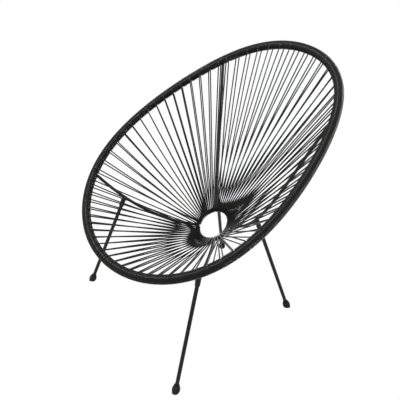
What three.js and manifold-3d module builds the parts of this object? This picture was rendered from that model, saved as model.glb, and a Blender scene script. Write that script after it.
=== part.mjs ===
// Acapulco chair. A flat egg-shaped hoop leans back on four plug-in legs. Four bowed rods run from the
// hoop down to a small ring, and cord wound round both is strung between them as a deep seat.
// Millimetres, +Z up. The sitter faces -Y with their left hand at +X. The floor is Z = 0.

import * as THREE from 'three';
import { mergeVertices } from 'three/addons/utils/BufferGeometryUtils.js';
import Module from 'manifold-3d';

// Hoop
const hoopWidth = 720;            // side to side, between tube centres
const hoopLength = 882;           // front to back along the slope, between tube centres
const hoopMiddleHeight = 599;     // middle of the hoop above the floor
const hoopLean = 33;              // degrees from level
const hoopTube = 21;              // tube diameter
const eggShares = [1, 0.06, 0.0226, -0.0126];   // sine series of the half width, from front to back

// Centre ring
const ringWidth = 119;            // between bar centres
const ringBar = 12;
const ringHeight = 308.5;
const ringSetBack = 33;           // ring centre behind the middle of the hoop
const ringLean = 34;

// Bowed rods. Each is a cubic curve whose two handles hang below its chord, a third and two thirds down it
const rodBar = 10;
const frontRodAngle = 48.6;       // place on the hoop outline, in degrees from the front
const rearRodAngle = 129.3;
const frontRodTurn = 54;          // place on the ring, in degrees from the front
const rearRodTurn = 136.3;
const frontUpperHandle = 62;
const frontLowerHandle = 56;
const rearUpperHandle = 33;
const rearLowerHandle = 213;

// Cord
const cord = 4;
const frontPairs = 20;            // strand pairs between the front rods
const leftPairs = 15;
const backPairs = 17;
const rightPairs = 16;
const frontSectors = 5;           // lengths that the cord work is divided into
const sideSectors = 4;
const backSectors = 5;
// Strands lie off even spacing on the hoop, at both ends and at a third and two thirds of each bay,
// by these shares of the space for one pair
const frontShiftShares = [0.56, -0.265, -0.46, -0.406];
const leftShiftShares = [-0.417, -0.335, -0.229, -0.144];
const backShiftShares = [0.019, -0.428, -0.157, 0.067];
const rightShiftShares = [-0.185, -0.164, -0.282, 0.376];

// Legs and their sockets
const legTube = 12;
const legWall = 1.2;
const legSetback = 12;            // leg's top end below the rod's centre
const frontLegShare = 0.283;      // place of the socket along its rod, from the hoop
const rearLegShare = 0.684;
const frontFootX = 293;
const frontFootY = -294;
const rearFootX = 197;
const rearFootY = 226;
const socketTube = 16;
const socketRise = 1.5;           // socket's top edge below the rod's centre
const socketLength = 38;          // socket's mouth below the rod's centre

// Leg screws
const screwDrop = 27;             // below the rod's centre
const screwShank = 4.8;
const screwTip = 1;               // screw's end short of the leg's axis
const screwHead = 9;
const screwHeadHeight = 2.6;
const screwDomeShare = 0.35;      // part of the head's height below its dome
const screwKey = 3;               // across the flats of the hexagon hole
const screwKeyDepth = 1.5;

// Feet
const footWidth = 25;
const footSoleWidth = 21;
const footHeight = 25;            // along the leg, from the floor up
const footMouth = 17;
const footSole = 6;               // rubber under the leg's end, along its axis
const footBulgeShare = 0.36;      // height of the widest place
const footNeckShare = 0.76;       // height where the neck starts

// Fits
const gap = 0.3;                  // left between pieces that touch
const overrun = 10;               // cutters run past the faces they cut

// Mesh detail
const roundSides = 16;
const bulbSteps = 4;
const rodSides = 10;
const rodSteps = 12;
const arcSteps = 360;

// Surfaces
const powderCoat = { color: 0x1d1d1c, roughness: 0.42, metalness: 0.3 };
const screwFinish = { color: 0x2a2a2a, roughness: 0.35, metalness: 0.85 };
const cordFinish = { color: 0x232321, roughness: 0.38, metalness: 0 };
const rubberFinish = { color: 0x111111, roughness: 0.75, metalness: 0 };

const wasm = await Module();
wasm.setup();

const rad = THREE.MathUtils.degToRad;
const vec = (x, y, z) => new THREE.Vector3(x, y, z);
const downTo = (from, to, distance) => from.clone().add(to.clone().sub(from).setLength(distance));

// Solids

function toManifold(geometry) {
  const bare = new THREE.BufferGeometry();
  bare.setAttribute('position', geometry.attributes.position.clone());
  if (geometry.index) bare.setIndex(geometry.index.clone());
  const merged = mergeVertices(bare);
  const all = merged.index.array;
  const faces = [];
  for (let k = 0; k < all.length; k += 3) {
    const [a, b, c] = [all[k], all[k + 1], all[k + 2]];
    if (a !== b && b !== c && c !== a) faces.push(a, b, c);
  }
  const mesh = new wasm.Mesh({
    numProp: 3,
    vertProperties: new Float32Array(merged.attributes.position.array),
    triVerts: new Uint32Array(faces),
  });
  return new wasm.Manifold(mesh);
}

function toGeometry(manifold) {
  const mesh = manifold.getMesh();
  const geometry = new THREE.BufferGeometry();
  geometry.setAttribute('position', new THREE.BufferAttribute(new Float32Array(mesh.vertProperties), 3));
  geometry.setIndex(new THREE.BufferAttribute(new Uint32Array(mesh.triVerts), 1));
  return geometry;
}

// Body less the cutters. Where that leaves offcuts, the largest piece is kept.
function cut(body, ...cutters) {
  let solid = toManifold(body);
  for (const cutter of cutters) solid = solid.subtract(toManifold(cutter));
  const pieces = solid.decompose().sort((a, b) => b.volume() - a.volume());
  return toGeometry(pieces[0]);
}

// Solid of revolution about +Y from points [radius, height], bottom to top
function turned(points, sides = roundSides) {
  return new THREE.LatheGeometry(points.map(([r, h]) => new THREE.Vector2(r, h)), sides);
}

// Turns a solid that stands on +Y to face along a direction, with its origin at a point
function placed(geometry, direction, origin) {
  const turn = new THREE.Quaternion().setFromUnitVectors(vec(0, 1, 0), direction);
  return geometry.applyQuaternion(turn).translate(...origin);
}

function straightBar(from, to, radius) {
  const length = from.distanceTo(to);
  const bar = new THREE.CylinderGeometry(radius, radius, length, roundSides);
  const direction = to.clone().sub(from).normalize();
  return placed(bar, direction, from.clone().lerp(to, 1 / 2));
}

// Hoop and ring curves

const hoopSlope = rad(hoopLean);
const ringSlope = rad(ringLean);
const hoopMiddle = vec(0, 0, hoopMiddleHeight);
const ringCentre = vec(0, ringSetBack, ringHeight);
const ringRadius = ringWidth / 2;

const eggAt = (angle) => eggShares.reduce((sum, share, k) => sum + share * Math.sin((k + 1) * angle), 0);
const outlineAngles = Array.from({ length: arcSteps + 1 }, (_, k) => (Math.PI * k) / arcSteps);
const eggWidest = Math.max(...outlineAngles.map(eggAt));

// Hoop centre line at an outline angle: 0 at the front, half a turn at the back
function hoopOutline(angle) {
  const x = ((hoopWidth / 2) * eggAt(angle)) / eggWidest;
  const along = (-hoopLength / 2) * Math.cos(angle);
  return vec(x, along * Math.cos(hoopSlope), along * Math.sin(hoopSlope)).add(hoopMiddle);
}

// Arc length from the front, for one half of the hoop
const outline = outlineAngles.map(hoopOutline);
const arcs = [0];
for (let k = 1; k <= arcSteps; k += 1) arcs.push(arcs[k - 1] + outline[k].distanceTo(outline[k - 1]));
const halfArc = arcs[arcSteps];
const wholeArc = 2 * halfArc;

function arcAtAngle(degrees) {
  const place = (degrees / 180) * arcSteps;
  const k = Math.min(Math.floor(place), arcSteps - 1);
  return THREE.MathUtils.lerp(arcs[k], arcs[k + 1], place - k);
}

// Point on the hoop at a distance round it from the front, positive towards +X
function hoopPoint(distance) {
  const signed = distance - Math.round(distance / wholeArc) * wholeArc;
  const arc = Math.min(Math.abs(signed), halfArc);
  const k = Math.max(arcs.findIndex((value) => value >= arc), 1);
  const point = outline[k - 1].clone().lerp(outline[k], (arc - arcs[k - 1]) / (arcs[k] - arcs[k - 1]));
  if (signed < 0) point.x = -point.x;
  return point;
}

// Point on the ring's centre line: turn 0 at the front, positive towards +X
function ringPoint(turn) {
  const side = ringRadius * Math.sin(turn);
  const along = -ringRadius * Math.cos(turn);
  return vec(side, along * Math.cos(ringSlope), along * Math.sin(ringSlope)).add(ringCentre);
}

// Bays of cord work between the rods

const frontArc = arcAtAngle(frontRodAngle);
const rearArc = arcAtAngle(rearRodAngle);
const wholeTurn = 2 * Math.PI;
const frontTurn = rad(frontRodTurn);
const rearTurn = rad(rearRodTurn);

const bays = [
  {
    name: 'front',
    shiftShares: frontShiftShares,
    rods: ['front_right', 'front_left'],
    arcs: [-frontArc, frontArc],
    turns: [-frontTurn, frontTurn],
    pairs: frontPairs,
    sectors: frontSectors,
  },
  {
    name: 'left',
    shiftShares: leftShiftShares,
    rods: ['front_left', 'rear_left'],
    arcs: [frontArc, rearArc],
    turns: [frontTurn, rearTurn],
    pairs: leftPairs,
    sectors: sideSectors,
  },
  {
    name: 'back',
    shiftShares: backShiftShares,
    rods: ['rear_left', 'rear_right'],
    arcs: [rearArc, wholeArc - rearArc],
    turns: [rearTurn, wholeTurn - rearTurn],
    pairs: backPairs,
    sectors: backSectors,
  },
  {
    name: 'right',
    shiftShares: rightShiftShares,
    rods: ['rear_right', 'front_right'],
    arcs: [wholeArc - rearArc, wholeArc - frontArc],
    turns: [wholeTurn - rearTurn, wholeTurn - frontTurn],
    pairs: rightPairs,
    sectors: sideSectors,
  },
];

// Cubic through four values, at the ends and at a third and two thirds of the way
const stationShares = [0, 1 / 3, 2 / 3, 1];
function cubicThrough(values, share) {
  return values.reduce((sum, value, k) => {
    const others = stationShares.filter((_, j) => j !== k);
    const weight = others.reduce((part, other) => (part * (share - other)) / (stationShares[k] - other), 1);
    return sum + value * weight;
  }, 0);
}

// Middle of a strand pair on the hoop, clear of the rod at each end of the bay
const rodClear = rodBar / 2 + 2 * cord;
function pairMiddle(bay, pair) {
  const pitch = (bay.arcs[1] - bay.arcs[0]) / bay.pairs;
  const share = (pair + 1 / 2) / bay.pairs;
  const arc = THREE.MathUtils.lerp(...bay.arcs, share) + pitch * cubicThrough(bay.shiftShares, share);
  return THREE.MathUtils.clamp(arc, bay.arcs[0] + rodClear, bay.arcs[1] - rodClear);
}

// Edges between strand pairs. On the ring they keep clear of the rod at each end of the bay.
function rimPlace(bay, pair) {
  if (pair === 0) return bay.arcs[0];
  if (pair === bay.pairs) return bay.arcs[1];
  return (pairMiddle(bay, pair - 1) + pairMiddle(bay, pair)) / 2;
}
const rodMargin = (rodBar / 2 + 2 * gap) / ringRadius;
const ringPlace = (bay, pair) => (
  THREE.MathUtils.lerp(bay.turns[0] + rodMargin, bay.turns[1] - rodMargin, pair / bay.pairs)
);

// Frame on the hoop: strands leave along 'strung', and 'up' is the seat's upper side
function rimFrame(bay, arc) {
  const centre = hoopPoint(arc);
  const tangent = hoopPoint(arc + cord).sub(hoopPoint(arc - cord)).normalize();
  const strung = ringPoint(THREE.MathUtils.mapLinear(arc, ...bay.arcs, ...bay.turns)).sub(centre);
  strung.addScaledVector(tangent, -strung.dot(tangent)).normalize();
  return { centre, strung, up: tangent.clone().cross(strung) };
}

// Frame on the ring: strands leave it outwards, towards the hoop
function ringFrame(bay, turn) {
  const centre = ringPoint(turn);
  const step = cord / ringRadius;
  const tangent = ringPoint(turn + step).sub(ringPoint(turn - step)).normalize();
  const strung = hoopPoint(THREE.MathUtils.mapLinear(turn, ...bay.turns, ...bay.arcs)).sub(centre);
  strung.addScaledVector(tangent, -strung.dot(tangent)).normalize();
  return { centre, strung, up: strung.clone().cross(tangent) };
}

// Sections of the winding, as angles in degrees from the strands. The first face and the one that
// mirrors it are one cord thick and take the strands of the upper and the lower side.
const rimRadius = hoopTube / 2 + cord;
const ringWrapRadius = ringBar / 2 + cord;
const rimBite = THREE.MathUtils.radToDeg(Math.asin(1 - cord / rimRadius));
const ringBite = THREE.MathUtils.radToDeg(Math.asin(1 - cord / ringWrapRadius));
const rimAngles = [90, rimBite, 0, -rimBite, -90, -135, -180, -225];
const ringAngles = [90, ringBite, -ringBite, -90, -150, -210];
const upperFace = 0;
const rimLowerFace = 3;
const ringLowerFace = 2;

function section(frame, radius, angles) {
  return angles.map((angle) => (
    frame.centre.clone()
      .addScaledVector(frame.strung, radius * Math.cos(rad(angle)))
      .addScaledVector(frame.up, radius * Math.sin(rad(angle)))
  ));
}

// Corner radius of a bore whose flat faces clear the bar's by the gap
function boreRadius(bar, angles) {
  const steps = angles.map((angle, k) => angle - (angles[k + 1] ?? angles[0] - 360));
  return bar / 2 + gap / Math.cos(rad(Math.max(...steps) / 2));
}
const hoopBore = boreRadius(hoopTube, rimAngles);
const ringBore = boreRadius(ringBar, ringAngles);

// Mesh laid section by section
class Skin {
  constructor() {
    this.points = [];
    this.faces = [];
  }

  row(points) {
    const start = this.points.length;
    this.points.push(...points);
    return points.map((_, k) => start + k);
  }

  quad(a, b, c, d) {
    this.faces.push(a, b, c, a, c, d);
  }

  // Faces between two rows, less the ones that strands take
  band(from, to, flip, open = []) {
    for (let k = 0; k < from.length; k += 1) {
      const next = (k + 1) % from.length;
      if (open.includes(k)) continue;
      if (flip) this.quad(from[k], to[k], to[next], from[next]);
      else this.quad(from[k], from[next], to[next], to[k]);
    }
  }

  // Flat end between an outer row and its bore
  end(outer, inner, flip) {
    for (let k = 0; k < outer.length; k += 1) {
      const next = (k + 1) % outer.length;
      if (flip) this.quad(outer[next], outer[k], inner[k], inner[next]);
      else this.quad(outer[k], outer[next], inner[next], inner[k]);
    }
  }

  geometry() {
    const geometry = new THREE.BufferGeometry();
    const flat = this.points.flatMap((p) => [p.x, p.y, p.z]);
    geometry.setAttribute('position', new THREE.BufferAttribute(new Float32Array(flat), 3));
    geometry.setIndex(this.faces);
    return geometry;
  }
}

// Closed bars, with sections at the same places as the winding's bores
function hoopSolid(radius) {
  const skin = new Skin();
  const rows = [];
  for (const bay of bays) {
    for (let pair = 0; pair < bay.pairs; pair += 1) {
      rows.push(skin.row(section(rimFrame(bay, rimPlace(bay, pair)), radius, rimAngles)));
    }
  }
  rows.forEach((row, k) => skin.band(row, rows[(k + 1) % rows.length], true));
  return skin.geometry();
}

function ringSolid(radius) {
  const skin = new Skin();
  const rows = [];
  for (const bay of bays) {
    const turns = [bay.turns[0]];
    for (let pair = 0; pair <= bay.pairs; pair += 1) turns.push(ringPlace(bay, pair));
    for (const turn of turns) rows.push(skin.row(section(ringFrame(bay, turn), radius, ringAngles)));
  }
  rows.forEach((row, k) => skin.band(row, rows[(k + 1) % rows.length], false));
  return skin.geometry();
}

// Rods

function rodCurve(side, angle, turn, upperHandle, lowerHandle) {
  const top = hoopOutline(rad(angle));
  const end = ringPoint(turn);
  const upper = top.clone().lerp(end, 1 / 3);
  const lower = top.clone().lerp(end, 2 / 3);
  upper.z -= upperHandle;
  lower.z -= lowerHandle;
  const points = [top, upper, lower, end];
  for (const point of points) point.x *= side;
  return new THREE.CubicBezierCurve3(...points);
}

function sweptBar(curve, radius) {
  const circle = new THREE.Shape().absarc(0, 0, radius, 0, wholeTurn, false);
  return new THREE.ExtrudeGeometry(circle, {
    steps: rodSteps,
    extrudePath: curve,
    curveSegments: rodSides / 2,
    bevelEnabled: false,
  });
}

const corners = [
  { name: 'front_left', side: 1, front: true },
  { name: 'front_right', side: -1, front: true },
  { name: 'rear_left', side: 1, front: false },
  { name: 'rear_right', side: -1, front: false },
];
const rodRooms = {};
for (const corner of corners) {
  const { name, side, front } = corner;
  corner.curve = front
    ? rodCurve(side, frontRodAngle, frontTurn, frontUpperHandle, frontLowerHandle)
    : rodCurve(side, rearRodAngle, rearTurn, rearUpperHandle, rearLowerHandle);
  rodRooms[name] = sweptBar(corner.curve, rodBar / 2 + gap);
}

// One sector of cord work: winding on the hoop, strand pairs and winding on the ring, as one body
const rowsPerPair = 3;

function webSector(bay, first, last) {
  const skin = new Skin();
  const halfGap = gap / 2;
  const halfGapTurn = halfGap / ringRadius;

  // Winding on the hoop
  const rimRow = (arc, radius) => skin.row(section(rimFrame(bay, arc), radius, rimAngles));
  const arcStart = rimPlace(bay, first) + halfGap;
  const arcEnd = rimPlace(bay, last) - halfGap;
  const rimRows = [rimRow(arcStart, rimRadius)];
  const rimBores = [rimRow(arcStart, hoopBore)];
  for (let pair = first; pair < last; pair += 1) {
    const middle = pairMiddle(bay, pair);
    for (const arc of [middle - cord, middle, middle + cord]) rimRows.push(rimRow(arc, rimRadius));
    if (pair > first) rimBores.push(rimRow(rimPlace(bay, pair), hoopBore));
  }
  rimRows.push(rimRow(arcEnd, rimRadius));
  rimBores.push(rimRow(arcEnd, hoopBore));
  for (let k = 0; k + 1 < rimRows.length; k += 1) {
    const open = [[], [rimLowerFace], [upperFace]][k % rowsPerPair];
    skin.band(rimRows[k], rimRows[k + 1], true, open);
  }
  for (let k = 0; k + 1 < rimBores.length; k += 1) skin.band(rimBores[k], rimBores[k + 1], false);
  skin.end(rimRows[0], rimBores[0], false);
  skin.end(rimRows.at(-1), rimBores.at(-1), true);

  // Winding on the ring
  const turns = [];
  for (let pair = first; pair <= last; pair += 1) turns.push(ringPlace(bay, pair));
  turns[0] += halfGapTurn;
  turns[turns.length - 1] -= halfGapTurn;
  const ringRow = (turn, radius) => skin.row(section(ringFrame(bay, turn), radius, ringAngles));
  const ringRows = turns.map((turn) => ringRow(turn, ringWrapRadius));
  const ringBores = turns.map((turn) => ringRow(turn, ringBore));
  for (let k = 0; k + 1 < turns.length; k += 1) {
    skin.band(ringRows[k], ringRows[k + 1], false, [upperFace, ringLowerFace]);
    skin.band(ringBores[k], ringBores[k + 1], true);
  }
  skin.end(ringRows[0], ringBores[0], true);
  skin.end(ringRows.at(-1), ringBores.at(-1), false);

  // Each strand joins an open face of the hoop winding to one of the ring winding
  const strand = (rimFrom, rimTo, rimFace, ringFrom, ringTo, ringFace) => {
    const a = [rimFrom[rimFace], rimTo[rimFace], rimTo[rimFace + 1], rimFrom[rimFace + 1]];
    const b = [ringFrom[ringFace], ringTo[ringFace], ringTo[ringFace + 1], ringFrom[ringFace + 1]];
    for (let k = 0; k < a.length; k += 1) {
      const next = (k + 1) % a.length;
      skin.quad(a[k], a[next], b[next], b[k]);
    }
  };
  for (let pair = first; pair < last; pair += 1) {
    const k = 1 + rowsPerPair * (pair - first);
    const m = pair - first;
    strand(rimRows[k], rimRows[k + 1], rimLowerFace, ringRows[m], ringRows[m + 1], ringLowerFace);
    strand(rimRows[k + 1], rimRows[k + 2], upperFace, ringRows[m], ringRows[m + 1], upperFace);
  }

  // The hoop winding at each end of the bay fits round the rod
  const cutters = [];
  if (first === 0) cutters.push(rodRooms[bay.rods[0]]);
  if (last === bay.pairs) cutters.push(rodRooms[bay.rods[1]]);
  return cut(skin.geometry(), ...cutters);
}

// Assembly

const group = new THREE.Group();
group.name = 'acapulco_chair';

function add(name, geometry, finish) {
  const mesh = new THREE.Mesh(geometry, new THREE.MeshStandardMaterial(finish));
  mesh.name = name;
  group.add(mesh);
}

add('hoop', hoopSolid(hoopTube / 2), powderCoat);
add('ring', ringSolid(ringBar / 2), powderCoat);

const hoopRoom = hoopSolid(hoopBore);
const ringRoom = ringSolid(ringBore);
const legRoomRadius = legTube / 2 + gap;

for (const corner of corners) {
  const { name, side, front, curve } = corner;
  add(`rod_${name}`, cut(sweptBar(curve, rodBar / 2), hoopRoom, ringRoom), powderCoat);

  // Leg axis, from the rod's centre to the floor
  const seat = curve.getPoint(front ? frontLegShare : rearLegShare);
  const sole = front ? vec(side * frontFootX, frontFootY, 0) : vec(side * rearFootX, rearFootY, 0);
  const down = sole.clone().sub(seat).normalize();
  const up = down.clone().negate();
  const legTop = downTo(seat, sole, legSetback);
  const legEnd = downTo(sole, seat, footSole);

  // Screw axis, square to the leg. The head faces the chair's middle.
  const inward = vec(-side, 0, 0).addScaledVector(down, side * down.x).normalize();
  const screwCentre = downTo(seat, sole, screwDrop);
  const headSeat = socketTube / 2 + gap;
  const headTop = headSeat + screwHeadHeight;
  const holeEnd = screwCentre.clone().addScaledVector(inward, headTop);
  const screwHole = straightBar(screwCentre, holeEnd, screwShank / 2 + gap);

  const socketMouth = downTo(seat, sole, socketLength);
  const socketBody = straightBar(downTo(seat, sole, socketRise), socketMouth, socketTube / 2);
  const socketRoomEnd = downTo(seat, sole, socketLength + overrun);
  const socketRoom = straightBar(downTo(seat, sole, -overrun), socketRoomEnd, legRoomRadius);
  add(`socket_${name}`, cut(socketBody, socketRoom, rodRooms[name], screwHole), powderCoat);

  const boreTop = downTo(legTop, sole, -overrun);
  const boreEnd = downTo(legEnd, seat, -overrun);
  const legRoom = straightBar(boreTop, boreEnd, legTube / 2 - legWall);
  add(`leg_${name}`, cut(straightBar(legTop, legEnd, legTube / 2), legRoom, screwHole), powderCoat);

  // Screw with a domed head and a hexagon hole
  const head = screwHead / 2;
  const shank = screwShank / 2;
  const domeFoot = headSeat + screwHeadHeight * screwDomeShare;
  const screwProfile = [[0, screwTip], [shank, screwTip], [shank, headSeat], [head, headSeat]];
  for (let k = 0; k < bulbSteps; k += 1) {
    const turn = (k / bulbSteps) * (Math.PI / 2);
    screwProfile.push([head * Math.cos(turn), domeFoot + (headTop - domeFoot) * Math.sin(turn)]);
  }
  screwProfile.push([0, headTop]);
  const key = new THREE.CylinderGeometry(
    screwKey / Math.sqrt(3),
    screwKey / Math.sqrt(3),
    screwKeyDepth + overrun,
    6,
  );
  key.translate(0, headTop + (overrun - screwKeyDepth) / 2, 0);
  add(`screw_${name}`, placed(cut(turned(screwProfile), key), inward, screwCentre), screwFinish);

  // Foot: a bulb on the leg's axis, flat on the floor
  const wide = footWidth / 2;
  const narrow = footMouth / 2;
  const low = footSoleWidth / 2;
  const bulge = footHeight * footBulgeShare;
  const neck = footHeight * footNeckShare;
  const footProfile = [[0, -overrun], [low, -overrun], [low, 0]];
  for (let k = 1; k < bulbSteps; k += 1) {
    const turn = (k / bulbSteps) * (Math.PI / 2);
    footProfile.push([low + (wide - low) * Math.sin(turn), bulge * (1 - Math.cos(turn))]);
  }
  for (let k = 0; k <= bulbSteps; k += 1) {
    const turn = (k / bulbSteps) * (Math.PI / 2);
    footProfile.push([narrow + (wide - narrow) * Math.cos(turn), bulge + (neck - bulge) * Math.sin(turn)]);
  }
  footProfile.push([narrow, footHeight], [0, footHeight]);
  const pocketFloor = downTo(sole, seat, footSole - gap);
  const pocketEnd = downTo(sole, seat, footHeight + overrun);
  const pocket = straightBar(pocketFloor, pocketEnd, legRoomRadius);
  const ground = new THREE.BoxGeometry(footWidth * 4, footWidth * 4, footWidth * 4);
  ground.translate(sole.x, sole.y, -footWidth * 2);
  add(`foot_${name}`, cut(placed(turned(footProfile), up, sole), pocket, ground), rubberFinish);
}

for (const bay of bays) {
  for (let k = 0; k < bay.sectors; k += 1) {
    const first = Math.round((k * bay.pairs) / bay.sectors);
    const last = Math.round(((k + 1) * bay.pairs) / bay.sectors);
    add(`web_${bay.name}_${k + 1}`, webSector(bay, first, last), cordFinish);
  }
}

export default group;
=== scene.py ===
"""Acapulco chair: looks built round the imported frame. Metres, +Z up, the sitter faces -Y."""
import math

import bpy
import numpy as np
from mathutils import Matrix, Vector


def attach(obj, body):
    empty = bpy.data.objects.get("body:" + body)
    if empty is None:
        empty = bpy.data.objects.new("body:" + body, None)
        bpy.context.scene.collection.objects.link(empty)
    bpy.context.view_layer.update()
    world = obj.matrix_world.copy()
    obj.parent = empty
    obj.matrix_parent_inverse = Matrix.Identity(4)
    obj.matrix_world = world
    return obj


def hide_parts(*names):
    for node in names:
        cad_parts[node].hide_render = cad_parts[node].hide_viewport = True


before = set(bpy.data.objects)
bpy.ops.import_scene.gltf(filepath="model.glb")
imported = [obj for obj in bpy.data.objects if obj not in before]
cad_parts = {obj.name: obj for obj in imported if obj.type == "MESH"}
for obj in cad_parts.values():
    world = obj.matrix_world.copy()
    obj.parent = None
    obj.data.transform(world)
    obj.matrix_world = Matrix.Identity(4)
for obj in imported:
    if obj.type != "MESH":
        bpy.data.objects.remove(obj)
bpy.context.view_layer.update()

rng = np.random.default_rng(7)
MM = 0.001

# Frame sizes, as in the part; radii, heights and places in metres
HOOP_WIDTH, HOOP_LENGTH, HOOP_MIDDLE, HOOP_LEAN = 0.720, 0.882, 0.599, math.radians(33)
EGG = (1, 0.06, 0.0226, -0.0126)
HOOP_R = 10.5 * MM
RING_R, RING_BAR_R, RING_LEAN = 59.5 * MM, 6 * MM, math.radians(34)
RING_HEIGHT, RING_BACK = 0.3085, 0.033
ROD_R = 5 * MM
FRONT_ROD, REAR_ROD = math.radians(48.6), math.radians(129.3)
FRONT_HANDLES, REAR_HANDLES = (0.062, 0.056), (0.033, 0.213)
FRONT_TURN, REAR_TURN = math.radians(54), math.radians(136.3)
FRONT_SHARE, REAR_SHARE = 0.283, 0.684
FRONT_FOOT, REAR_FOOT = (0.293, -0.294), (0.197, 0.226)
LEG_R, LEG_SETBACK, FOOT_SOLE = 6 * MM, 12 * MM, 6 * MM
SOCKET_R, SOCKET_BORE, SOCKET_RISE, SOCKET_LENGTH = 8 * MM, 6.3 * MM, 1.5 * MM, 38 * MM
SCREW_DROP, SCREW_R, SCREW_HEAD_R, SCREW_HEAD_H = 27 * MM, 2.4 * MM, 4.5 * MM, 2.6 * MM
SCREW_KEY, SCREW_KEY_DEPTH, SCREW_KEY_EASE = 3 * MM, 1.5 * MM, 0.1 * MM
ROD_IN_HOOP, ROD_IN_RING = HOOP_R * 0.7, RING_BAR_R * 0.5     # where the rod's ends stop in the bars
LEG_WALL, FOOT_CLEAR = 1.2 * MM, 0.15 * MM
WELD_SIDES, WELD_R, WELD_RIPPLES = 96, 0.75 * MM, 13

# Cord
WOUND_R = 1.95 * MM    # half the cord's thickness where it is wound
STRAND_R = 2.0 * MM    # and where it is strung
RING_CORD_R = 1.95 * MM
WRAP = 12.05 * MM    # centre of the wound cord from the hoop's centre line
RING_WRAP = RING_BAR_R + RING_CORD_R
TURN_PITCH = 4.1 * MM
TURN_STEP = 1.02 * MM    # a quarter of the pitch
TURN_POINTS = 16    # points in one turn on the hoop
HITCH_POINTS = 10    # and in the half turn on the ring
CORD_SIDES = 8
HOOP_STEP = 1.2 * MM    # sideways step of a strand from its pair's middle at the back of the hoop
RING_STEP = 1.3 * MM    # and on the ring
RING_CLEAR = 1.3 * MM    # least distance from a rod's mark, under the ring
ROD_PUSH, ROD_REACH = 6.2 * MM, 12 * MM    # how the cords part round a rod, under the ring
HOOP_PUSH, HOOP_REACH, HOOP_PUSH_END = 5.6 * MM, 13 * MM, 40 * MM    # and in the hoop's winding
HOOP_PUSH_TURN = math.radians(75)    # as far round the section
# Points along a strand as shares of its length, from the hoop to the ring and back
TOP_STATIONS = (0.0, 0.02, 0.06, 0.5, 0.94, 0.985)
UNDER_STATIONS = (0.985, 0.94, 0.5, 0.06, 0.02)
FULL_SHARE = 0.06    # where the upper strand has its full thickness
UNDER_FULL_SHARE = 0.05
# Bays between the rods, from the front round by the sitter's left: strand pairs, their shifts on the
# hoop at four stations as shares of a pair's space, and their shift and spread on the ring
BAYS = (
    (20, (0.560, -0.265, -0.460, -0.406), (-0.5 * MM, -3.6 * MM)),    # front
    (15, (-0.417, -0.335, -0.229, -0.144), (1.0 * MM, 1.5 * MM)),    # left
    (17, (0.019, -0.428, -0.157, 0.067), (3.0 * MM, 1.0 * MM)),    # back
    (16, (-0.185, -0.164, -0.282, 0.376), (2.8 * MM, 0.0)),    # right
)
ROD_CLEAR = 13 * MM    # from a rod to the middle of a pair, on the hoop


# ---- curves
def egg(angle):
    return sum(c * np.sin((k + 1) * angle) for k, c in enumerate(EGG))


def hoop_outline(angle):
    angle = np.atleast_1d(angle)
    widest = egg(np.linspace(0, math.pi, 721)).max()
    x = HOOP_WIDTH / 2 * egg(angle) / widest
    u = -HOOP_LENGTH / 2 * np.cos(angle)
    return np.stack([x, u * math.cos(HOOP_LEAN), u * math.sin(HOOP_LEAN) + HOOP_MIDDLE], 1)


FINE = np.linspace(0, 2 * math.pi, 5761)
LOOP = hoop_outline(FINE)
ARC = np.concatenate([[0], np.cumsum(np.linalg.norm(np.diff(LOOP, axis=0), axis=1))])
WHOLE = ARC[-1]
FRONT_ARC, REAR_ARC = np.interp([FRONT_ROD, REAR_ROD], FINE, ARC)
ARC_MARKS = np.array([-FRONT_ARC, FRONT_ARC, REAR_ARC, WHOLE - REAR_ARC, WHOLE - FRONT_ARC])
TURN_MARKS = np.array(
    [-FRONT_TURN, FRONT_TURN, REAR_TURN, 2 * math.pi - REAR_TURN, 2 * math.pi - FRONT_TURN]
)


def unit(v):
    return v / np.linalg.norm(v, axis=-1, keepdims=True)


def hoop_at(s):
    s = np.mod(s, WHOLE)
    return np.stack([np.interp(s, ARC, LOOP[:, k]) for k in range(3)], -1)


def ring_at(t):
    k = -RING_R * np.cos(t)
    return np.stack(
        [
            RING_R * np.sin(t),
            RING_BACK + k * math.cos(RING_LEAN),
            RING_HEIGHT + k * math.sin(RING_LEAN),
        ],
        -1,
    )


def turn_for_arc(s):
    return np.interp(np.mod(s + FRONT_ARC, WHOLE) - FRONT_ARC, ARC_MARKS, TURN_MARKS)


def arc_for_turn(t):
    return np.interp(np.mod(t + FRONT_TURN, 2 * math.pi) - FRONT_TURN, TURN_MARKS, ARC_MARKS)


def hoop_frame(s):
    """Centre, strand direction and seat-side direction of the hoop's section at s."""
    c = hoop_at(s)
    t = unit(hoop_at(s + 2 * MM) - hoop_at(s - 2 * MM))
    d = ring_at(turn_for_arc(s)) - c
    d = unit(d - t * (d * t).sum(-1, keepdims=True))
    return c, d, np.cross(t, d)


def ring_frame(t):
    c = ring_at(t)
    g = unit(ring_at(t + 0.02) - ring_at(t - 0.02))
    d = hoop_at(arc_for_turn(t)) - c
    d = unit(d - g * (d * g).sum(-1, keepdims=True))
    return c, d, np.cross(d, g)


# ---- mesh helpers
def mesh_object(name, verts, faces):
    me = bpy.data.meshes.new(name)
    me.from_pydata([tuple(v) for v in verts], [], faces)
    me.validate()
    me.polygons.foreach_set("use_smooth", [True] * len(me.polygons))
    ob = bpy.data.objects.new(name, me)
    bpy.context.scene.collection.objects.link(ob)
    return ob


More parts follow.
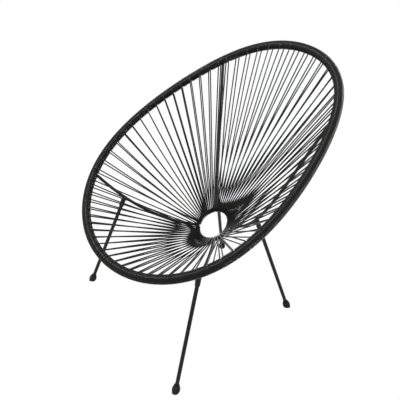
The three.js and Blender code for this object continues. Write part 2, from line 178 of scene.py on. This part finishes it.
def sweep_data(path, radius, sides, closed=False):
    """Round bar along a path, with frames carried along it."""
    path = np.asarray(path, float)
    n = len(path)
    radius = np.broadcast_to(np.asarray(radius, float), (n,))
    if closed:
        tan = unit(np.roll(path, -1, 0) - np.roll(path, 1, 0))
    else:
        tan = unit(np.gradient(path, axis=0))
    a = np.cross(tan[0], [0.3, 0.2, 0.93])
    a /= np.linalg.norm(a)
    side = np.empty_like(path)
    for k in range(n):
        t = tan[k]
        a = a - t * (a @ t)
        a = a / math.sqrt(a @ a)
        side[k] = a
    up = np.cross(tan, side)
    twist = np.zeros(n)
    if closed:
        t = tan[0]
        b = side[-1] - t * (side[-1] @ t)
        off = math.atan2(b @ up[0], b @ side[0])
        twist = -off * np.arange(n) / n
    ang = 2 * math.pi * np.arange(sides) / sides
    turn = ang[None, :] + twist[:, None]
    ring = np.cos(turn)[..., None] * side[:, None] + np.sin(turn)[..., None] * up[:, None]
    verts = (path[:, None] + radius[:, None, None] * ring).reshape(-1, 3)
    rows = n if closed else n - 1
    i = np.arange(rows)[:, None]
    j = np.arange(sides)[None, :]
    i2, j2 = (i + 1) % n, (j + 1) % sides
    quads = np.stack([i * sides + j, i * sides + j2, i2 * sides + j2, i2 * sides + j], -1)
    faces = quads.reshape(-1, 4).tolist()
    if not closed:
        faces.append(list(range(sides))[::-1])
        faces.append([(n - 1) * sides + k for k in range(sides)])
    return verts, faces


def sweep(name, path, radius, sides, closed=False):
    return mesh_object(name, *sweep_data(path, radius, sides, closed))


def lathe_data(profile, sides):
    """Surface of revolution about +Z from (radius, height) points; the ends on the axis are closed."""
    verts, rows = [], []
    for r, h in profile:
        if r < 1e-9:
            rows.append([len(verts)])
            verts.append((0, 0, h))
        else:
            rows.append(list(range(len(verts), len(verts) + sides)))
            for k in range(sides):
                a = 2 * math.pi * k / sides
                verts.append((r * math.cos(a), r * math.sin(a), h))
    faces = []
    for lo, hi in zip(rows, rows[1:]):
        for k in range(sides):
            k2 = (k + 1) % sides
            if len(lo) == 1:
                faces.append([lo[0], hi[k2], hi[k]][::-1])
            elif len(hi) == 1:
                faces.append([lo[k], lo[k2], hi[0]])
            else:
                faces.append([lo[k], lo[k2], hi[k2], hi[k]])
    return np.array(verts, float), faces


def placing(axis, origin):
    """Matrix that takes +Z to an axis and the origin to a point."""
    turned = Vector((0, 0, 1)).rotation_difference(Vector(axis)).to_matrix().to_4x4()
    return Matrix.Translation(Vector(origin)) @ turned


def moved(verts, m):
    a = np.array(m)
    return verts @ a[:3, :3].T + a[:3, 3]


def smooth_by_angle(ob, degrees):
    bpy.context.view_layer.objects.active = ob
    ob.select_set(True)
    bpy.ops.object.shade_smooth_by_angle(angle=math.radians(degrees))
    ob.select_set(False)


# ---- materials
SHINE = 0.2    # specular level: the white surroundings would lift the blacks at the usual 0.5
NOISE_LOW, NOISE_HIGH = 0.3, 0.7    # the stretch of the noise that colours and roughness follow


def material(name, base, rough, metal=0.0):
    m = bpy.data.materials.new(name)
    m.use_nodes = True
    nt = m.node_tree
    b = nt.nodes["Principled BSDF"]
    b.inputs["Base Color"].default_value = (*base, 1)
    b.inputs["Roughness"].default_value = rough
    b.inputs["Metallic"].default_value = metal
    b.inputs["Specular IOR Level"].default_value = SHINE
    return m, nt, b


def noise(nt, scale, detail):
    co = nt.nodes.new("ShaderNodeTexCoord")
    tex = nt.nodes.new("ShaderNodeTexNoise")
    tex.inputs["Scale"].default_value = scale
    tex.inputs["Detail"].default_value = detail
    nt.links.new(co.outputs["Object"], tex.inputs["Vector"])
    return tex


def ranged(nt, source, lo, hi, target):
    r = nt.nodes.new("ShaderNodeMapRange")
    r.inputs["From Min"].default_value = NOISE_LOW
    r.inputs["From Max"].default_value = NOISE_HIGH
    r.inputs["To Min"].default_value = lo
    r.inputs["To Max"].default_value = hi
    nt.links.new(source, r.inputs["Value"])
    nt.links.new(r.outputs["Result"], target)


def tinted(nt, source, low, high, target):
    ramp = nt.nodes.new("ShaderNodeValToRGB")
    ramp.color_ramp.elements[0].position = NOISE_LOW
    ramp.color_ramp.elements[0].color = (*low, 1)
    ramp.color_ramp.elements[1].position = NOISE_HIGH
    ramp.color_ramp.elements[1].color = (*high, 1)
    nt.links.new(source, ramp.inputs["Fac"])
    nt.links.new(ramp.outputs["Color"], target)


def bumped(nt, b, source, strength, distance):
    bump = nt.nodes.new("ShaderNodeBump")
    bump.inputs["Strength"].default_value = strength
    bump.inputs["Distance"].default_value = distance
    nt.links.new(source, bump.inputs["Height"])
    nt.links.new(bump.outputs["Normal"], b.inputs["Normal"])


def powder_coat():
    m, nt, b = material("powder_coat", (0.009, 0.009, 0.0086), 0.36)
    peel = noise(nt, scale=900, detail=2)
    cloud = noise(nt, scale=35, detail=3)
    dark, light = (0.0075, 0.0075, 0.0071), (0.012, 0.012, 0.0113)
    tinted(nt, cloud.outputs["Fac"], dark, light, b.inputs["Base Color"])
    ranged(nt, cloud.outputs["Fac"], 0.32, 0.42, b.inputs["Roughness"])
    bumped(nt, b, peel.outputs["Fac"], strength=0.25, distance=0.12 * MM)
    return m


def pvc_cord():
    m, nt, b = material("pvc_cord", (0.0078, 0.0076, 0.0070), 0.25)
    cloud = noise(nt, scale=60, detail=3)
    grain = noise(nt, scale=1400, detail=2)
    dark, light = (0.0060, 0.0059, 0.0054), (0.0095, 0.0093, 0.0086)
    tinted(nt, cloud.outputs["Fac"], dark, light, b.inputs["Base Color"])
    ranged(nt, grain.outputs["Fac"], 0.20, 0.30, b.inputs["Roughness"])
    bumped(nt, b, grain.outputs["Fac"], strength=0.2, distance=0.1 * MM)
    return m


def rubber():
    m, nt, b = material("foot_rubber", (0.010, 0.010, 0.010), 0.62)
    grain = noise(nt, scale=1100, detail=3)
    cloud = noise(nt, scale=90, detail=2)
    dark, light = (0.008, 0.008, 0.008), (0.015, 0.015, 0.0145)
    tinted(nt, cloud.outputs["Fac"], dark, light, b.inputs["Base Color"])
    ranged(nt, grain.outputs["Fac"], 0.55, 0.72, b.inputs["Roughness"])
    bumped(nt, b, grain.outputs["Fac"], strength=0.35, distance=0.15 * MM)
    return m


def screw_black():
    m, nt, b = material("screw_black", (0.03, 0.03, 0.032), 0.3, metal=0.85)
    grain = noise(nt, scale=1500, detail=2)
    ranged(nt, grain.outputs["Fac"], 0.24, 0.38, b.inputs["Roughness"])
    dark, light = (0.025, 0.025, 0.026), (0.045, 0.045, 0.047)
    tinted(nt, grain.outputs["Fac"], dark, light, b.inputs["Base Color"])
    return m


POWDER, CORD, RUBBER, SCREW = powder_coat(), pvc_cord(), rubber(), screw_black()


def finish_piece(ob, mat, slot, *nodes):
    ob.data.materials.append(mat)
    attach(ob, "root")
    if nodes:
        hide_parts(*nodes)


# ---- hoop and ring
hoop_path = hoop_at(np.linspace(0, WHOLE, 360, endpoint=False))
finish_piece(sweep("hoop_tube", hoop_path, HOOP_R, 24, closed=True), POWDER, "frame", "hoop")
ring_path = ring_at(np.linspace(0, 2 * math.pi, 120, endpoint=False))
finish_piece(sweep("ring_bar", ring_path, RING_BAR_R, 16, closed=True), POWDER, "frame", "ring")

# ---- rods, legs, sockets, screws and feet
CORNERS = (
    ("front_left", 1, True),
    ("front_right", -1, True),
    ("rear_left", 1, False),
    ("rear_right", -1, False),
)


def rod_points(side, front, t):
    angle, turn, (h1, h2) = (
        (FRONT_ROD, FRONT_TURN, FRONT_HANDLES) if front else (REAR_ROD, REAR_TURN, REAR_HANDLES)
    )
    p0, p3 = hoop_outline(angle)[0], ring_at(np.float64(turn))
    p1 = p0 + (p3 - p0) / 3 - np.array([0, 0, h1])
    p2 = p0 + (p3 - p0) * 2 / 3 - np.array([0, 0, h2])
    t = np.atleast_1d(t)[:, None]
    p = p0 * (1 - t) ** 3 + 3 * p1 * t * (1 - t) ** 2 + 3 * p2 * t * t * (1 - t) + p3 * t**3
    return p * np.array([side, 1, 1])


def socket_mesh(down, rod_dir):
    """Socket along +Z from the rod's centre down, its top edge shaped round the rod."""
    m = placing(down, (0, 0, 0)).to_3x3()
    r = np.array(m.transposed()) @ rod_dir
    sides, rows = 64, 14
    verts = []

    def top(x, y):
        # height along the socket where this line leaves the rod
        flat = np.array([x, y, 0.0])
        a = 1 - r[2] ** 2
        bq = -2 * (flat @ r) * r[2]
        c = flat @ flat - (flat @ r) ** 2 - ROD_R**2
        disc = bq * bq - 4 * a * c
        hit = (-bq + math.sqrt(disc)) / (2 * a) if disc > 0 else 0.0
        return max(hit, SOCKET_RISE)

    loops = []
    lip = 0.6 * MM
    for k in range(sides):
        a = 2 * math.pi * k / sides
        ca, sa = math.cos(a), math.sin(a)
        line = []
        t_in = top(SOCKET_BORE * ca, SOCKET_BORE * sa)
        t_out = top(SOCKET_R * ca, SOCKET_R * sa)
        for q in np.linspace(0, 1, rows):
            line.append((SOCKET_R, t_out + (SOCKET_LENGTH - lip - t_out) * q))
        for q in (0.3, 0.6, 1.0):
            turn = q * math.pi / 2
            rounded = SOCKET_R - lip * (1 - math.cos(turn))
            line.append((rounded, SOCKET_LENGTH - lip + lip * math.sin(turn)))
        line.append((SOCKET_BORE, SOCKET_LENGTH))
        for q in np.linspace(0, 1, 4)[1:]:
            line.append((SOCKET_BORE, SOCKET_LENGTH + (t_in - SOCKET_LENGTH) * q))
        loops.append([(rr * ca, rr * sa, h) for rr, h in line])
    n = len(loops[0])
    for k in range(sides):
        verts.extend(loops[k])
    faces = []
    for k in range(sides):
        k2 = (k + 1) % sides
        for j in range(n):
            j2 = (j + 1) % n
            faces.append([k * n + j, k * n + j2, k2 * n + j2, k2 * n + j])
    bead = []
    for k in range(WELD_SIDES):
        a = 2 * math.pi * k / WELD_SIDES
        x, y = SOCKET_R * math.cos(a), SOCKET_R * math.sin(a)
        bead.append((x * 0.99, y * 0.99, top(x, y) + 0.3 * MM))
    return np.array(verts), faces, np.array(bead)


def screw_mesh():
    """Screw along +Z: shank, domed head and hexagon hole."""
    seat = SOCKET_R
    top = seat + SCREW_HEAD_H
    foot = seat + SCREW_HEAD_H * 0.35
    sides = 48
    prof = [(0, MM), (SCREW_R, MM), (SCREW_R, seat), (SCREW_HEAD_R, seat)]
    for k in range(7):
        a = k / 8 * math.pi / 2
        prof.append((SCREW_HEAD_R * math.cos(a), foot + (top - foot) * math.sin(a)))
    verts, faces = lathe_data(prof, sides)
    verts = verts.tolist()
    last = list(range(len(verts) - sides, len(verts)))
    apothem = SCREW_KEY / 2
    bottom = top - SCREW_KEY_DEPTH
    # the hexagon's rim, eased outward, then its wall
    for depth, push in ((top, 1.12), (top - SCREW_KEY_EASE, 1.0), (bottom, 1.0)):
        row = []
        for k in range(sides):
            a = 2 * math.pi * k / sides
            local = (a + math.pi / 6) % (math.pi / 3) - math.pi / 6
            r = apothem / math.cos(local) * push
            row.append(len(verts))
            verts.append([r * math.cos(a), r * math.sin(a), depth])
        for k in range(sides):
            k2 = (k + 1) % sides
            faces.append([last[k], last[k2], row[k2], row[k]])
        last = row
    verts.append([0, 0, bottom])
    for k in range(sides):
        faces.append([last[k], last[(k + 1) % sides], len(verts) - 1])
    return np.array(verts), faces


def foot_mesh():
    """Foot along +Z from the floor: flat sole, bulb, neck with a rolled lip and the leg's pocket."""
    wide, narrow, low, high = 12.5 * MM, 8.5 * MM, 10.5 * MM, 25 * MM
    bulge, neck = high * 0.36, high * 0.76
    # the leg leans, so the profile starts below the floor and is then levelled to it
    under, below = -9 * MM, -4 * MM
    prof = [(0, under), (low * 0.5, under), (low, under), (low, below)]
    for k in range(0, 12):
        a = k / 12 * math.pi / 2
        prof.append((low + (wide - low) * math.sin(a), bulge * (1 - math.cos(a))))
    for k in range(0, 13):
        a = k / 12 * math.pi / 2
        prof.append((narrow + (wide - narrow) * math.cos(a), bulge + (neck - bulge) * math.sin(a)))
    lip = 0.9 * MM
    for k in range(0, 9):
        a = k / 8 * math.pi
        prof.append((narrow - lip + lip * math.cos(a) + FOOT_CLEAR, high - lip + lip * math.sin(a)))
    pocket, floor_of_pocket = LEG_R + FOOT_CLEAR, FOOT_SOLE - 0.3 * MM
    prof += [(pocket, high - 2 * MM), (pocket, floor_of_pocket), (0, floor_of_pocket)]
    return lathe_data(prof, 64)


def leg_mesh(length):
    """Leg tube along +Z, open at both ends."""
    inner, ease = LEG_R - LEG_WALL, 0.4 * MM
    prof = [(inner, ease), (inner + ease / 2, 0), (LEG_R - ease, 0), (LEG_R, ease)]
    prof += [(LEG_R, length * q) for q in (0.25, 0.5, 0.75)]
    prof += [(LEG_R, length - ease), (LEG_R - ease, length)]
    prof += [(inner + ease / 2, length), (inner, length - ease)]
    prof.append(prof[0])
    return lathe_data(prof, 48)


for name, side, front in CORNERS:
    rod = rod_points(side, front, np.linspace(0, 1, 81))
    # the rod stops inside the bars that it is welded to
    past_hoop = np.linalg.norm(rod - rod[0], axis=1) > ROD_IN_HOOP
    past_ring = np.linalg.norm(rod - rod[-1], axis=1) > ROD_IN_RING
    bowed = sweep(f"bowed_rod_{name}", rod[past_hoop & past_ring], ROD_R, 24)
    finish_piece(bowed, POWDER, "frame", f"rod_{name}")

    share = FRONT_SHARE if front else REAR_SHARE
    seat = rod_points(side, front, share)[0]
    ahead, behind = rod_points(side, front, [share + 0.01, share - 0.01])
    rod_dir = unit(ahead - behind)
    fx, fy = FRONT_FOOT if front else REAR_FOOT
    sole = np.array([side * fx, fy, 0.0])
    down = unit(sole - seat)
    total = float(np.linalg.norm(sole - seat))

    v, f, bead = socket_mesh(down, rod_dir)
    place = placing(down, seat)
    socket = mesh_object(f"leg_socket_{name}", moved(v, place), f)
    smooth_by_angle(socket, 40)
    finish_piece(socket, POWDER, "frame", f"socket_{name}")
    ripple = 0.18 * np.sin(np.arange(WELD_SIDES) * 2 * math.pi / WELD_SIDES * WELD_RIPPLES)
    wave = WELD_R * (1 + ripple + 0.1 * rng.random(WELD_SIDES))
    weld = sweep(f"socket_weld_{name}", moved(bead, place), wave, 10, closed=True)
    finish_piece(weld, POWDER, "frame")

    v, f = leg_mesh(total - LEG_SETBACK - FOOT_SOLE)
    leg = mesh_object(f"leg_tube_{name}", moved(v, placing(down, seat + down * LEG_SETBACK)), f)
    smooth_by_angle(leg, 40)
    finish_piece(leg, POWDER, "frame", f"leg_{name}")

    inward = np.array([-side, 0, 0]) + down * (side * down[0])
    v, f = screw_mesh()
    place = placing(unit(inward), seat + down * SCREW_DROP)
    screw = mesh_object(f"socket_screw_{name}", moved(v, place), f)
    smooth_by_angle(screw, 35)
    finish_piece(screw, SCREW, "screw", f"screw_{name}")

    v, f = foot_mesh()
    v = moved(v, placing(-down, sole))
    v[:, 2] = np.maximum(v[:, 2], 0)
    foot = mesh_object(f"foot_cap_{name}", v, f)
    smooth_by_angle(foot, 50)
    finish_piece(foot, RUBBER, "foot", f"foot_{name}")


# ---- the cord, one closed length
def cubic_through(values, q):
    """Cubic through values at the ends and at a third and two thirds of the way."""
    at = (0, 1 / 3, 2 / 3, 1)
    out = 0
    for i, value in enumerate(values):
        weight = value
        for j, other in enumerate(at):
            if j != i:
                weight = weight * (q - other) / (at[i] - other)
        out = out + weight
    return out


pair_arc, pair_turn, under_turn = [], [], []
for b, (count, shifts, (ring_shift, ring_spread)) in enumerate(BAYS):
    q = (np.arange(count) + 0.5) / count
    s0, s1, t0, t1 = ARC_MARKS[b], ARC_MARKS[b + 1], TURN_MARKS[b], TURN_MARKS[b + 1]
    arc = s0 + q * (s1 - s0) + cubic_through(shifts, q) * (s1 - s0) / count
    pair_arc += list(np.clip(arc, s0 + ROD_CLEAR, s1 - ROD_CLEAR))
    turn = t0 + q * (t1 - t0) + (ring_shift + ring_spread * (2 * q - 1)) / RING_R
    pair_turn += list(turn)
    clear = RING_CLEAR / RING_R
    under_turn += list(np.clip(turn - RING_STEP / RING_R, t0 + clear, t1 - clear))
rod_angles = []
# side and front of the rod at each of ARC_MARKS
MARK_RODS = ((-1, True), (1, True), (1, False), (-1, False), (-1, True))
for s_rod, (side, front) in zip(ARC_MARKS, MARK_RODS):
    p = rod_points(side, front, [0, 0.02])
    c, d, n = hoop_frame(np.array([s_rod]))
    way = unit(p[1] - p[0])
    rod_angles.append(math.atan2(way @ n[0], way @ d[0]))


def parted(s, theta):
    """The winding parts round a rod on the rod's side of the hoop."""
    out = s.copy()
    for s_rod, a_rod in zip(ARC_MARKS, rod_angles):
        off = s - s_rod
        turn = np.abs((theta - a_rod + math.pi) % (2 * math.pi) - math.pi)
        near = np.clip(1 - turn / HOOP_PUSH_TURN, 0, 1)
        near = near * near * (3 - 2 * near)
        push = HOOP_PUSH * near * np.exp(-np.abs(off) / HOOP_REACH)
        out += np.where(off >= 0, 1, -1) * push * (np.abs(off) < HOOP_PUSH_END)
    return out


def aside(t):
    """On the ring's underside the cords part round the rods."""
    out = t
    for mark in TURN_MARKS:
        off = (t - mark + math.pi) % (2 * math.pi) - math.pi
        push = ROD_PUSH / RING_R * math.exp(-abs(off) * RING_R / ROD_REACH)
        out += math.copysign(push, off) * (abs(off) < 1)
    return out


points, radii = [], []
for k in range(len(pair_arc) - 1, -1, -1):
    s, t = pair_arc[k], pair_turn[k]
    # the step runs the other way at the front
    step = -HOOP_STEP * math.cos(2 * math.pi * s / WHOLE)
    c, d, n = hoop_frame(np.array([s + step, s - step]))
    t, t_under = t + RING_STEP / RING_R, aside(under_turn[k])
    rc, _, rn = ring_frame(np.array([t, t_under]))
    top0, under0 = c[0] + WRAP * n[0], c[1] - WRAP * n[1]
    top1, under1 = rc[0] + RING_WRAP * rn[0], rc[1] - RING_WRAP * rn[1]
    for q in TOP_STATIONS:
        points.append(top0 + (top1 - top0) * q)
        radii.append(WOUND_R + (STRAND_R - WOUND_R) * min(q / FULL_SHARE, 1) if q < 0.5 else STRAND_R)
    a = np.linspace(0, 1, HITCH_POINTS)
    tt = t + (t_under - t) * a
    hc, hd, hn = ring_frame(tt)
    th = math.pi / 2 + a * math.pi
    points += list(hc + RING_WRAP * (np.cos(th)[:, None] * hd + np.sin(th)[:, None] * hn))
    radii += [RING_CORD_R] * HITCH_POINTS
    for q in UNDER_STATIONS:
        points.append(under0 + (under1 - under0) * q)
        radii.append(STRAND_R if q > UNDER_FULL_SHARE else WOUND_R)
    s_from = s - TURN_STEP
    s_next = pair_arc[k - 1] if k else pair_arc[-1] - WHOLE
    s_to = s_next + TURN_STEP
    turns = round((s_from - s_to) / TURN_PITCH - 0.5) + 0.5
    count = int(turns * TURN_POINTS) + 1
    q = np.linspace(0, 1, count)[:-1]
    theta = -math.pi / 2 - q * turns * 2 * math.pi
    along = s_from + (s_to - s_from) * q
    along += (TURN_STEP - step) * np.clip(1 - q * turns / 0.5, 0, 1)
    step_next = -HOOP_STEP * math.cos(2 * math.pi * s_next / WHOLE)
    along -= (TURN_STEP - step_next) * np.clip(1 - (1 - q) * turns / 0.5, 0, 1)
    ease = np.clip(np.minimum(q, 1 - q) * turns / 0.5, 0, 1)
    along = along + (parted(along, theta) - along) * ease
    wc, wd, wn = hoop_frame(along)
    points += list(wc + WRAP * (np.cos(theta)[:, None] * wd + np.sin(theta)[:, None] * wn))
    radii += [WOUND_R] * len(q)
SECTORS = (("front", 5), ("left", 4), ("back", 5), ("right", 4))
web_nodes = [f"web_{bay}_{i}" for bay, last in SECTORS for i in range(1, last + 1)]
finish_piece(sweep("cord", points, radii, CORD_SIDES, closed=True), CORD, "cord", *web_nodes)


# ---- stage, light and camera
FLOOR_HALF, FLOOR_GREY, AMBIENT = 40, 0.25, 0.05


def seen_rays(tree, light_path):
    """1 for the rays that see the white background: camera, glossy and transmission rays."""
    total = light_path.outputs["Is Camera Ray"]
    for kind in ("Is Glossy Ray", "Is Transmission Ray"):
        larger = tree.nodes.new("ShaderNodeMath")
        larger.operation = "MAXIMUM"
        tree.links.new(total, larger.inputs[0])
        tree.links.new(light_path.outputs[kind], larger.inputs[1])
        total = larger.outputs["Value"]
    return total


floor_me = bpy.data.meshes.new("floor")
floor_corners = [(x * FLOOR_HALF, y * FLOOR_HALF, 0) for x, y in ((-1, -1), (1, -1), (1, 1), (-1, 1))]
floor_me.from_pydata(floor_corners, [], [(0, 1, 2, 3)])
floor = bpy.data.objects.new("floor", floor_me)
bpy.context.scene.collection.objects.link(floor)
m, nt, b = material("floor_white", (FLOOR_GREY,) * 3, 0.8)
glow = nt.nodes.new("ShaderNodeEmission")
glow.inputs["Strength"].default_value = 1.0
glow.inputs["Color"].default_value = (1, 1, 1, 1)
path = nt.nodes.new("ShaderNodeLightPath")
mix = nt.nodes.new("ShaderNodeMixShader")
out = nt.nodes["Material Output"]
nt.links.new(seen_rays(nt, path), mix.inputs["Fac"])
nt.links.new(b.outputs["BSDF"], mix.inputs[1])
nt.links.new(glow.outputs["Emission"], mix.inputs[2])
nt.links.new(mix.outputs["Shader"], out.inputs["Surface"])
floor_me.materials.append(m)

world = bpy.data.worlds.new("studio")
bpy.context.scene.world = world
world.use_nodes = True
wt = world.node_tree
bg = wt.nodes["Background"]
bg.inputs["Color"].default_value = (1, 1, 1, 1)
bg.inputs["Strength"].default_value = AMBIENT
seen = wt.nodes.new("ShaderNodeBackground")
seen.inputs["Color"].default_value = (1, 1, 1, 1)
seen.inputs["Strength"].default_value = 1.0
wp = wt.nodes.new("ShaderNodeLightPath")
wm = wt.nodes.new("ShaderNodeMixShader")
wt.links.new(seen_rays(wt, wp), wm.inputs["Fac"])
wt.links.new(bg.outputs["Background"], wm.inputs[1])
wt.links.new(seen.outputs["Background"], wm.inputs[2])
wt.links.new(wm.outputs["Shader"], wt.nodes["World Output"].inputs["Surface"])


def area(name, at, aim, size, power, spread=180):
    lamp = bpy.data.lights.new(name, "AREA")
    lamp.shape = "RECTANGLE"
    lamp.size, lamp.size_y = size
    lamp.energy = power
    lamp.spread = math.radians(spread)
    ob = bpy.data.objects.new(name, lamp)
    ob.location = at
    ob.rotation_mode = "QUATERNION"
    ob.rotation_quaternion = (Vector(aim) - Vector(at)).to_track_quat("-Z", "Y")
    bpy.context.scene.collection.objects.link(ob)


area("top", at=(0.0, -1.1, 2.75), aim=(0.0, 0.0, 0.5), size=(0.7, 0.7), power=85)
# a narrow light on the far right of the rim; more power burns the strands white from the front
area("back", at=(1.7, 1.75, 1.0), aim=(0.29, 0.30, 0.85), size=(0.8, 0.8), power=5, spread=26)

FOCAL_PX, FRAME_PX, SENSOR_MM = 562.31, 400, 36
CAMERA_AT = (1.21087, -0.85692, 1.40597)
cam_data = bpy.data.cameras.new("camera")
cam_data.sensor_width = SENSOR_MM
cam_data.lens = FOCAL_PX * SENSOR_MM / FRAME_PX
cam_data.clip_end = 100
cam = bpy.data.objects.new("camera", cam_data)
bpy.context.scene.collection.objects.link(cam)
RIGHT = Vector((0.553675, 0.832397, 0.023650))
DOWN = Vector((0.473117, -0.291072, -0.831527))
AHEAD = Vector((-0.685277, 0.471585, -0.554981))
cam.matrix_world = Matrix.Translation(CAMERA_AT) @ Matrix(
    ((RIGHT.x, -DOWN.x, -AHEAD.x), (RIGHT.y, -DOWN.y, -AHEAD.y), (RIGHT.z, -DOWN.z, -AHEAD.z))
).to_4x4()
bpy.context.scene.camera = cam
bpy.context.scene.view_settings.view_transform = "Standard"
